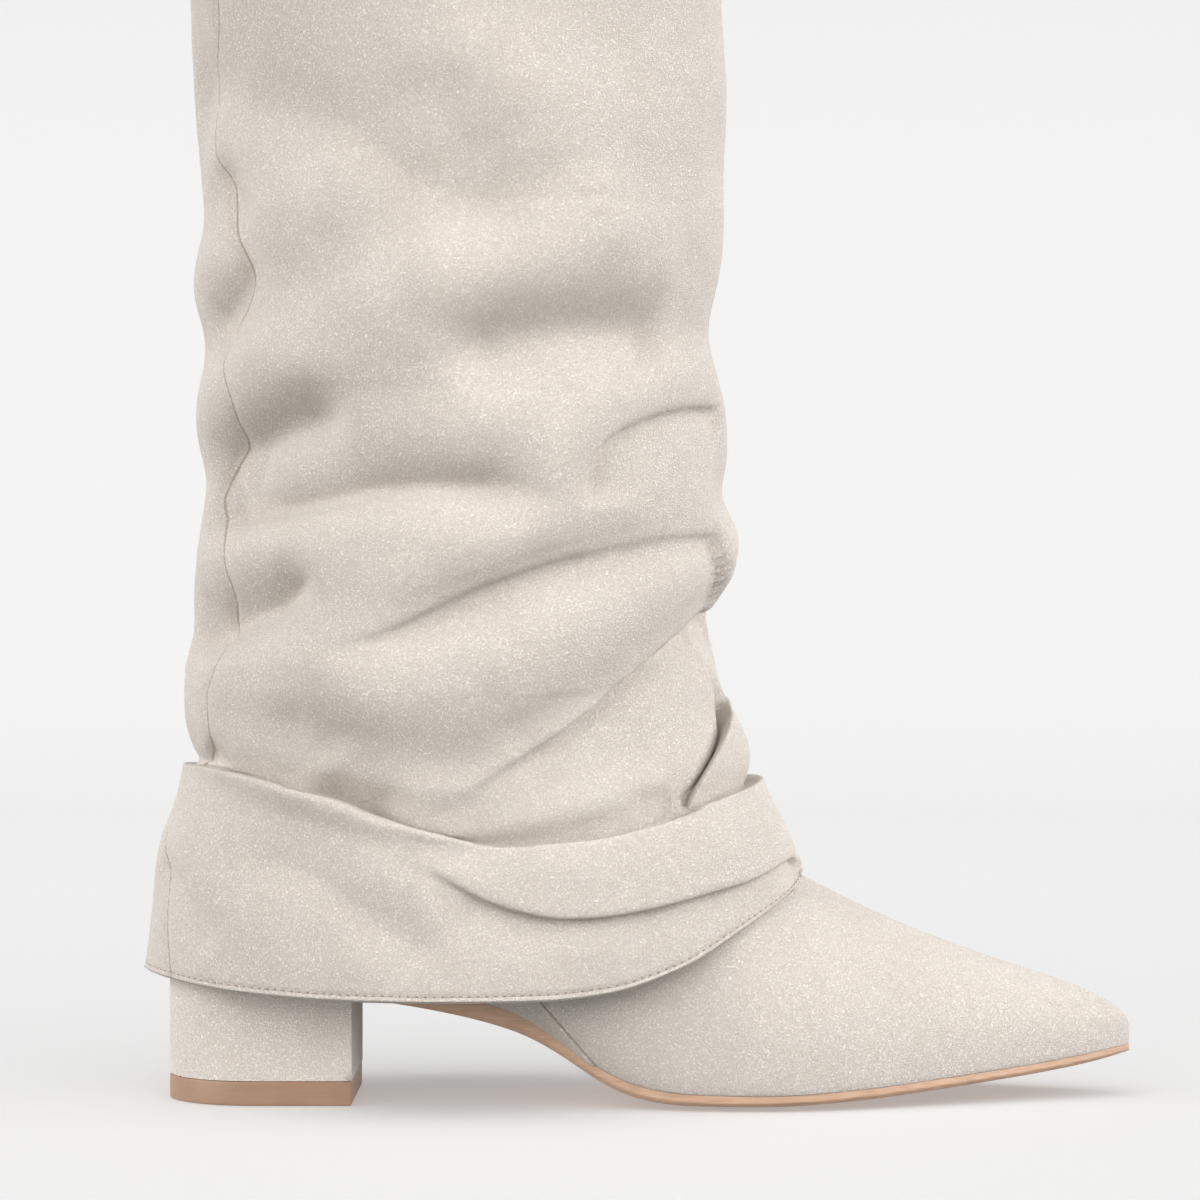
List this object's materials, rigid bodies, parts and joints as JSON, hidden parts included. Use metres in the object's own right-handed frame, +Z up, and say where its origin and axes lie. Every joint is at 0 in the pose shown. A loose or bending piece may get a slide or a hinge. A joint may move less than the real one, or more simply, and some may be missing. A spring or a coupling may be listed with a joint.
{
  "type": "slouch boot",
  "caption": "Tall pointed-toe boot for the right foot with a low block heel and a wide shaft folded down over the leg in soft creases, its hem hanging over the foot.",
  "frame": {"origin": "middle of the flat tread under the heel, on the floor", "axes": "+X from the heel to the toe, +Y to the inner side of the foot, +Z up the leg"},
  "size_m": [0.2823, 0.1174, 0.42],
  "materials": {
    "upper_suede": "suede",
    "foldover_suede": "suede",
    "heel_suede": "suede",
    "sole": "satin",
    "top_piece": "satin",
    "insole": "smooth"
  },
  "bodies": {
    "root": {"upper": "upper_suede", "foldover_shaft": "foldover_suede", "heel_block": "heel_suede", "outsole": "sole", "top_piece": "top_piece", "insole": "insole"}
  },
  "joints": []
}
